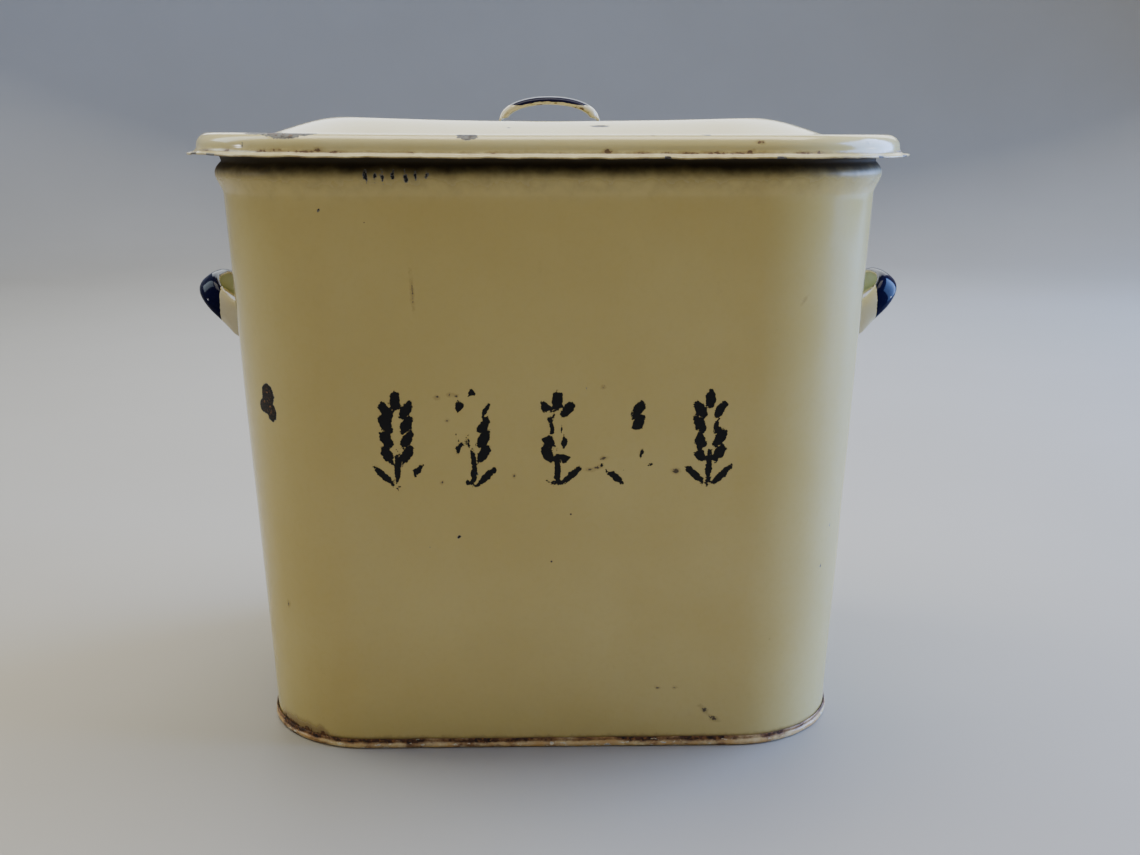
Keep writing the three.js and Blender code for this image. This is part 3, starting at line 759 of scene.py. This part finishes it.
# painted shade along the bottom edge of the hem, where it meets the floor
FLOOR_CONTACT_SHADE = (0.012, 0.009, 0.007)
RUST_SCALE = (0.024, 0.013, 0.008)
RUST_BROWN = (0.110, 0.043, 0.015)
RUST_FRESH = (0.31, 0.13, 0.036)
RUST_STAIN = (0.20, 0.100, 0.030)
HEM_RUST_STAIN = (0.20, 0.078, 0.020)
HEM_STAIN = (0.56, 0.30, 0.085)
HEM_WORN = (0.85, 0.76, 0.52)
BARE_STEEL = (0.56, 0.53, 0.48)
IRON = (0.16, 0.14, 0.12)
PALE_FLOOR = (0.40, 0.36, 0.295)
PALER_FLOOR = (0.425, 0.385, 0.32)
WHITE = (1.0, 1.0, 1.0)
WARM_ROOM = (1.0, 0.93, 0.78)

ENAMEL_IOR = 1.52


def rust_color(look, shift=0.0):
    """Dark scale, brown rust, and orange where it is fresh."""
    patchy = look.above(look.noise(260, 3, shift=shift), 0.5, 0.16)
    brown = look.blend(patchy, RUST_SCALE, RUST_BROWN)
    fresh = look.above(look.noise(620, 2, shift=shift + 3), 0.60, 0.1)
    return look.blend(fresh, brown, RUST_FRESH)


def enamel_base(name, cream=CREAM):
    """Old cream enamel before its damage: uneven yellowing and a soft orange peel."""
    look = Look(name, cream, 0.2)
    pale = tuple(a * b / c for a, b, c in zip(cream, CREAM_PALE, CREAM))
    dark = tuple(a * b / c for a, b, c in zip(cream, CREAM_DARK, CREAM))
    look.color = look.blend(look.above(look.noise(6, 2), 0.5, 0.25), cream, pale)
    aged = look.above(look.noise(17, 5, shift=2.0), 0.52, 0.28)
    look.color = look.blend(look.share(aged, 0.45), look.color, dark)
    mottled = look.above(look.noise(330, 3, shift=5.0), 0.58, 0.14)
    look.color = look.blend(look.share(mottled, 0.12), look.color, dark)
    smeared = look.above(look.noise(26, 4, stretch=(1, 1, 0.5), shift=7.0), 0.5, 0.22)
    look.rough = look.blend(smeared, 0.09, 0.17)
    look.emboss(look.share(look.noise(95, 2, shift=9.0), 0.04))
    return look


def rusting(look, streaks=0.5):
    """Rust where the mesh's rust field and noise together pass a threshold; the noise
    is drawn out along Z, the more the smaller `streaks` is."""
    uneven = look.noise(120, 6, stretch=(1.2, 1.2, streaks), shift=6.0, roughness=0.66)
    fine = look.noise(420, 3, shift=11.0)
    swing = look.math("SUBTRACT", look.math("ADD", uneven, look.share(fine, 0.35)), 0.675)
    eaten = look.math("ADD", look.field("rust"), swing)
    look.over(look.share(look.above(eaten, 0.46, 0.32), 0.66), RUST_STAIN, 0.45)
    look.over(look.above(eaten, 0.90, 0.06), rust_color(look), 0.85, height=-0.12)


def chipping(look, core=GROUND_COAT, edge=CHIP_EDGE, spot_color=SPOT, halo=0.25):
    """Brown spots with a halo, and chips through the cream to the ground coat."""
    spot = look.field("spot")
    look.over(look.share(look.jagged(spot, 420, 2.4, -0.45, 0.5), halo), SPOT_HALO, 0.4)
    middle = look.jagged(spot, 650, 2.4, 0.1, 0.2, shift=5.0)
    look.over(look.share(middle, 0.9), spot_color, 0.6)
    chip = look.field("chip")
    look.over(look.jagged(chip, 620, 2.6, -0.16, 0.08), edge, 0.35, height=-0.08)
    look.over(look.jagged(chip, 620, 2.6, 0.08, 0.08), core, 0.45, height=-0.14, shine=0.2)
    pits = look.above(look.noise(900, 3, shift=8.0), 0.57, 0.05)
    look.over(look.share(pits, look.above(chip, 0.9, 0.6)), rust_color(look, 4.0), 0.8)


def speckled(look):
    """Tiny rust pinholes scattered over the enamel."""
    look.over(look.specks(105, 0.020, 0.045), PINHOLE, 0.6)
    look.over(look.specks(47, 0.035, 0.019, shift=4.0), FINE_PINHOLE, 0.6)


def wall_material():
    """Cream enamel with painted shade and some dirt under the lid, rust at the foot and the
    stencils.
    """
    look = enamel_base("cream_enamel_wall")
    speckled(look)
    # painted shade under the lid's overhang, mixed with dirt and broken up by noise
    lid_shade_and_dirt = look.math("ADD", look.field("lid_shade_and_dirt"), look.share(look.noise(120, 5), 0.5))
    look.over(look.share(look.above(lid_shade_and_dirt, 0.75, 0.45), 0.96), LID_SHADE_AND_DIRT, 0.7, shine=0.2)
    rusting(look)
    chipping(look)
    paint = look.jagged(look.field("stencil"), 430, 2.6, 0.25, 0.1, shift=3.0)
    look.over(paint, BLACK_PAINT, 0.4, height=0.05, shine=0.22)
    return look.done(ENAMEL_IOR)


def lid_material():
    """Paler enamel, whose chips stop at a grey ground coat."""
    look = enamel_base("cream_enamel_lid", LID_CREAM)
    speckled(look)
    rusting(look, streaks=1.0)
    dark = look.above(look.noise(290, 3, shift=14.0), 0.56, 0.10)
    ground = look.blend(dark, LID_GROUND, LID_GROUND_DARK)
    chipping(look, ground, LID_CHIP_EDGE, LID_SPOT, halo=0.3)
    return look.done(ENAMEL_IOR)


def hem_material():
    """Folded hem: rust along its seam, stained enamel on its rolled edge, and glints
    of bare steel where it has been knocked."""
    look = enamel_base("rusted_hem", HEM_CREAM)
    stained = look.above(look.noise(70, 4, shift=3.0), 0.47, 0.14)
    look.over(look.share(stained, 0.85), HEM_STAIN, 0.3)
    uneven = look.noise(85, 6, stretch=(1, 1, 1.5), shift=12.0, roughness=0.64)
    seam = look.above(look.field("rise"), 3.1, 0.8)
    eaten = look.math("ADD", look.share(look.field("rust"), 0.30), look.share(seam, 0.30))
    eaten = look.math("ADD", eaten, look.share(look.math("SUBTRACT", uneven, 0.5), 1.5))
    look.over(look.share(look.above(eaten, 0.30, 0.14), 0.85), HEM_RUST_STAIN, 0.45)
    look.over(look.above(eaten, 0.47, 0.07), rust_color(look, 2.0), 0.85, height=-0.15)
    knocks = look.noise(230, 4, stretch=(1, 1, 2.4), shift=17.0)
    worn = look.math("ADD", knocks, look.share(seam, -0.08))
    look.over(look.above(worn, 0.61, 0.02), HEM_WORN, 0.15, height=-0.08)
    look.over(look.above(worn, 0.66, 0.02), BARE_STEEL, 0.32, metal=0.8, height=-0.05)
    # painted shade: the bottom edge of the hem, where it sits on the floor, is darkened
    low = look.math("SUBTRACT", 0.40, look.field("rise"))
    look.over(look.share(look.above(low, 0.0, 0.3), 0.85), FLOOR_CONTACT_SHADE, 0.8)
    return look.done()


def handle_material():
    """Cream undercoat, darker and greener on the inner face as a painted shade of the
    strap's hollow, and the navy outer coat, chipped through at the turned edges."""
    look = enamel_base("navy_enamel_handle", HANDLE_CREAM)
    # painted shade on the inner face of the strap
    look.color = look.blend(look.share(look.field("inner"), 0.8), look.color, HANDLE_INNER_SHADE)
    coat = look.jagged(look.field("navy"), 420, 1.5, 0.0, 0.1, shift=1.0)
    look.over(coat, NAVY, 0.08, height=0.12, shine=0.07)
    knocked = look.above(look.noise(230, 4, shift=8.0), 0.60, 0.04)
    knocked = look.math("MULTIPLY", look.field("edge"), knocked)
    look.over(knocked, rust_color(look, 1.0), 0.7, height=-0.12)
    look.over(look.specks(230, 0.04, 0.09, shift=2.0), HANDLE_PINHOLE, 0.6)
    return look.done(ENAMEL_IOR)


def rivet_material():
    """Cream enamel, worn to rust in places."""
    look = enamel_base("enamelled_rivet", HANDLE_CREAM)
    worn = look.above(look.noise(300, 4, shift=3.0), 0.65, 0.05)
    look.over(worn, rust_color(look, 5.0), 0.8, height=-0.1)
    return look.done()


def wire_material():
    """Drawn iron, half rusted over."""
    look = Look("iron_wire", IRON, 0.5)
    look.metal = 0.85
    look.over(look.above(look.noise(220, 4), 0.5, 0.08), rust_color(look), 0.85, height=0.03)
    return look.done()


# ---- stage -------------------------------------------------------------------------------
def floor_material():
    """Plain pale floor, very slightly uneven."""
    look = Look("pale_floor", PALE_FLOOR, 0.6)
    look.color = look.blend(look.above(look.noise(3, 4), 0.5, 0.4), PALE_FLOOR, PALER_FLOOR)
    return look.done()


def backdrop():
    """Round floor that sweeps up into a wall all the way round, in metres."""
    floor, bend, height, sides = 2.3, 1.0, 3.4, 96
    profile = [(r, 0.0) for r in (0.4, 0.8, 1.2, 1.6, 2.0, floor)]
    for angle in np.radians(np.linspace(0, 90, 13)[1:]):
        profile.append((floor + bend * math.sin(angle), bend * (1 - math.cos(angle))))
    profile.append((floor + bend, height))
    turn = np.linspace(0, 2 * math.pi, sides, endpoint=False)
    points = [(r * math.cos(a), r * math.sin(a), z) for r, z in profile for a in turn]
    faces = [list(range(sides))]
    for i in range(len(profile) - 1):
        for k in range(sides):
            n = (k + 1) % sides
            faces.append([i * sides + k, (i + 1) * sides + k, (i + 1) * sides + n, i * sides + n])
    mesh = bpy.data.meshes.new("studio_floor")
    mesh.from_pydata(points, [], faces)
    mesh.shade_smooth()
    piece = bpy.data.objects.new("studio_floor", mesh)
    bpy.context.scene.collection.objects.link(piece)
    mesh.materials.append(floor_material())


def softbox(name, place, target, size, power, color):
    """Rectangular lamp at `place`, turned to `target`; sizes in metres, power in watts."""
    data = bpy.data.lights.new(name, "AREA")
    data.shape, data.size, data.size_y = "RECTANGLE", size[0], size[1]
    data.energy, data.color = power, color
    lamp = bpy.data.objects.new(name, data)
    lamp.location = place
    lamp.rotation_euler = (Vector(target) - Vector(place)).to_track_quat("-Z", "Y").to_euler()
    bpy.context.scene.collection.objects.link(lamp)


def lights():
    """Daylight from both sides and from behind, a warm fill, and two small glints."""
    aim = (0, 0, 0.2)
    softbox("overhead", (0.0, 0.2, 1.9), (0, 0.05, 0.3), (1.8, 1.0), 38, (1.0, 0.95, 0.82))
    softbox("window_behind", (0.15, 2.3, 1.35), (0, 0, 0.3), (2.8, 1.3), 28, (0.92, 0.97, 1.0))
    softbox("window_right", (2.2, 0.45, 1.0), aim, (2.2, 1.8), 172, (0.24, 0.44, 1.0))
    softbox("window_left", (-1.7, 0.6, 1.65), aim, (1.0, 1.4), 19, (0.80, 0.95, 1.0))
    softbox("room_fill", (0.8, -2.0, 1.9), aim, (1.8, 1.1), 5.5, (1.0, 0.74, 0.10))
    softbox("glint_right", (1.55, 0.05, 0.34), aim, (0.07, 0.10), 2.4, WHITE)
    softbox("glint_left", (-1.5, -0.3, 0.5), aim, (0.06, 0.07), 1.3, WHITE)
    world = bpy.data.worlds.new("studio")
    world.use_nodes = True
    sky = world.node_tree.nodes["Background"]
    sky.inputs["Color"].default_value = (*WARM_ROOM, 1.0)
    sky.inputs["Strength"].default_value = 0.12
    bpy.context.scene.world = world


EYE = (-0.0023, -0.6821, 0.3106)        # metres
LOOK_DOWN, LOOK_RIGHT = 13.67, 1.15     # degrees
SENSOR_WIDTH, LENS = 36.0, 37.9         # millimetres


def camera():
    """The photograph's point of view."""
    data = bpy.data.cameras.new("photo_camera")
    data.sensor_width, data.lens = SENSOR_WIDTH, LENS
    eye = bpy.data.objects.new("photo_camera", data)
    eye.location = EYE
    eye.rotation_euler = (math.radians(90 - LOOK_DOWN), 0, math.radians(-LOOK_RIGHT))
    bpy.context.scene.collection.objects.link(eye)
    bpy.context.scene.camera = eye


# ---- assembly ----------------------------------------------------------------------------
camera()
backdrop()
lights()

strap_looks = (handle_material(), rivet_material())
finish_piece(body_wall(), wall_material(), "bin", "body_wall")
finish_piece(base_pan(), hem_material(), "bin", "base_pan")
finish_piece(rim_wire(), wire_material(), "bin", "rim_wire")
finish_piece(lid_shell(), lid_material(), "lid", "lid_shell")

# Each side handle's frame stands on the face of the wall, which leans outward.
wall_lean = math.atan2(TOP[0] - FOOT[0], WALL_TOP)
side_x = mix(FOOT[0], TOP[0], SIDE_HANDLE["z"] / WALL_TOP)
front, rear = ["front_lower", "front_upper"], ["rear_lower", "rear_upper"]
for side, turn, corners in (("right", 0.0, front + rear), ("left", math.pi, rear + front)):
    mount = (Matrix.Translation((side_x * math.cos(turn), 0, SIDE_HANDLE["z"]))
             @ Matrix.Rotation(turn, 4, "Z") @ Matrix.Rotation(wall_lean, 4, "Y"))
    handle_set("bin", f"side_handle_{side}", SIDE_HANDLE, RIVET, mount, corners, strap_looks)
# The lid handle's X points up, and its Y along the long side of the lid.
lid_mount = Matrix(((0, 1, 0, 0), (0, 0, 1, 0), (1, 0, 0, SEAT_Z), (0, 0, 0, 1)))
lid_corners = ["left_front", "left_rear", "right_front", "right_rear"]
handle_set("lid", "lid_handle", LID_HANDLE, LID_RIVET, lid_mount, lid_corners, strap_looks)
